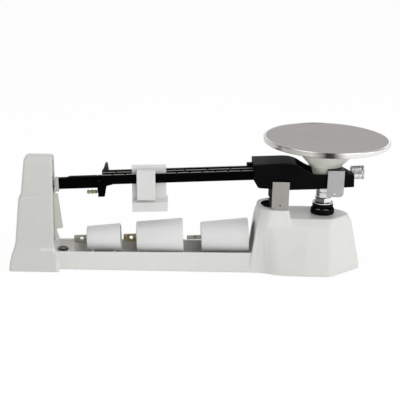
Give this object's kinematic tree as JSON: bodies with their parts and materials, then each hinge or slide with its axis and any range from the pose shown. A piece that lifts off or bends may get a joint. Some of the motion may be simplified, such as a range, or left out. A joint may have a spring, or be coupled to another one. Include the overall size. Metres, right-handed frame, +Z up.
{
  "type": "precision balance",
  "caption": "Triple-beam balance: tilting black beam with sliding poises, round steel pan, pale cast base with index post and a trough of stored attachment weights.",
  "frame": {"origin": "on the resting plane, under the middle of the outline", "axes": "+Z up, +X from the index post to the pan, +Y away from the pictured side"},
  "size_m": [0.4476, 0.15, 0.1635],
  "materials": {
    "enamel": "satin",
    "weight_enamel": "satin",
    "poise_enamel": "satin",
    "black_enamel": "satin",
    "casting_black": "matt",
    "steel": "satin",
    "knob_steel": "knurled",
    "pan_steel": "brushed",
    "bright_ring": "polished",
    "brass": "dull",
    "rubber": "matt",
    "moulding": "satin",
    "agate": "polished",
    "magnet": "matt",
    "white_plate": "matt",
    "dark_plastic": "satin",
    "vane": "plain"
  },
  "bodies": {
    "base": {"pedestal": "enamel", "rail_near": "enamel", "rail_far": "enamel", "trough_floor": "enamel", "index_post": "enamel", "index_plate": "white_plate", "damper_magnet_near": "magnet", "damper_magnet_far": "magnet", "damper_yoke": "steel", "lower_stop": "rubber", "upper_stop": "rubber", "front_foot_near": "rubber", "front_foot_far": "rubber", "post_foot_near": "rubber", "post_foot_far": "rubber", "fulcrum_bracket": "steel", "bracket_screw_near": "steel", "bracket_screw_far": "steel", "fulcrum_bearing_near": "agate", "fulcrum_bearing_far": "agate", "deck_ring": "rubber", "check_bracket": "steel", "recess_ring": "bright_ring"},
    "beam": {"yoke_casting": "casting_black", "near_beam": "black_enamel", "middle_beam": "black_enamel", "far_beam": "black_enamel", "end_crosspiece": "black_enamel", "pointer_arm": "black_enamel", "pointer_tip": "white_plate", "damper_vane": "vane", "fulcrum_knife_near": "steel", "fulcrum_knife_far": "steel", "load_knife_near": "steel", "load_knife_far": "steel", "hanger_pin": "brass", "zero_stud": "steel"},
    "zero_knob": {"zero_knob": "knob_steel"},
    "large_poise": {"large_poise": "poise_enamel"},
    "middle_poise": {"middle_poise": "poise_enamel"},
    "small_poise": {"small_poise": "dark_plastic"},
    "pan_carrier": {"pan_stem": "steel", "stem_nut": "steel", "stem_bumper": "rubber", "stirrup_near": "steel", "stirrup_far": "steel", "load_bearing_near": "agate", "load_bearing_far": "agate", "pan_support": "moulding"},
    "pan": {"pan": "pan_steel"},
    "check_link": {"check_link": "steel"},
    "levelling_screw": {"levelling_screw": "dark_plastic"},
    "small_weight": {"small_weight": "weight_enamel", "small_weight_plate": "brass"},
    "middle_weight": {"middle_weight": "weight_enamel", "middle_weight_plate": "brass"},
    "large_weight": {"large_weight": "weight_enamel", "large_weight_plate": "brass"}
  },
  "joints": [
    {"name": "beam_tilt", "type": "hinge", "parent": "base", "child": "beam", "pos_m": [0.09485, 0, 0.108], "axis": [0, 1, 0], "range_deg": [0, 5.6]},
    {"name": "carrier_hang", "type": "hinge", "parent": "beam", "child": "pan_carrier", "pos_m": [0.15906, 0, 0.11148], "axis": [0, 1, 0], "range_deg": [-5.6, 0]},
    {"name": "check_link_swing", "type": "hinge", "parent": "base", "child": "check_link", "pos_m": [0.08464, 0, 0.022], "axis": [0, 1, 0], "range_deg": [0, 5.6]},
    {"name": "zero_knob_spin", "type": "hinge", "parent": "beam", "child": "zero_knob", "pos_m": [0.18728, 0, 0.12102], "axis": [0.9985, 0, 0.0541], "continuous": true},
    {"name": "large_poise_slide", "type": "slide", "parent": "beam", "child": "large_poise", "axis": [0.9985, 0, 0.0541], "range_m": [-0.02, 0.1]},
    {"name": "middle_poise_slide", "type": "slide", "parent": "beam", "child": "middle_poise", "axis": [0.9985, 0, 0.0541], "range_m": [-0.026, 0.114]},
    {"name": "small_poise_slide", "type": "slide", "parent": "beam", "child": "small_poise", "axis": [0.9985, 0, 0.0541], "range_m": [0, 0.155]},
    {"name": "levelling_screw_turn", "type": "hinge", "parent": "base", "child": "levelling_screw", "pos_m": [-0.16165, -0.013, 0.022], "axis": [0, 0, 1], "continuous": true},
    {"name": "pan_lift", "type": "slide", "parent": "pan_carrier", "child": "pan", "axis": [0, 0, 1], "range_m": [0, 0.04]},
    {"name": "small_weight_lift", "type": "slide", "parent": "base", "child": "small_weight", "axis": [0, 0, 1], "range_m": [0, 0.014]},
    {"name": "middle_weight_lift", "type": "slide", "parent": "base", "child": "middle_weight", "axis": [0, 0, 1], "range_m": [0, 0.011]},
    {"name": "large_weight_lift", "type": "slide", "parent": "base", "child": "large_weight", "axis": [0, 0, 1], "range_m": [0, 0.012]}
  ],
  "couplings": [
    {"joint": "carrier_hang", "follows": "beam_tilt", "ratio": -1},
    {"joint": "check_link_swing", "follows": "beam_tilt", "ratio": 1}
  ]
}
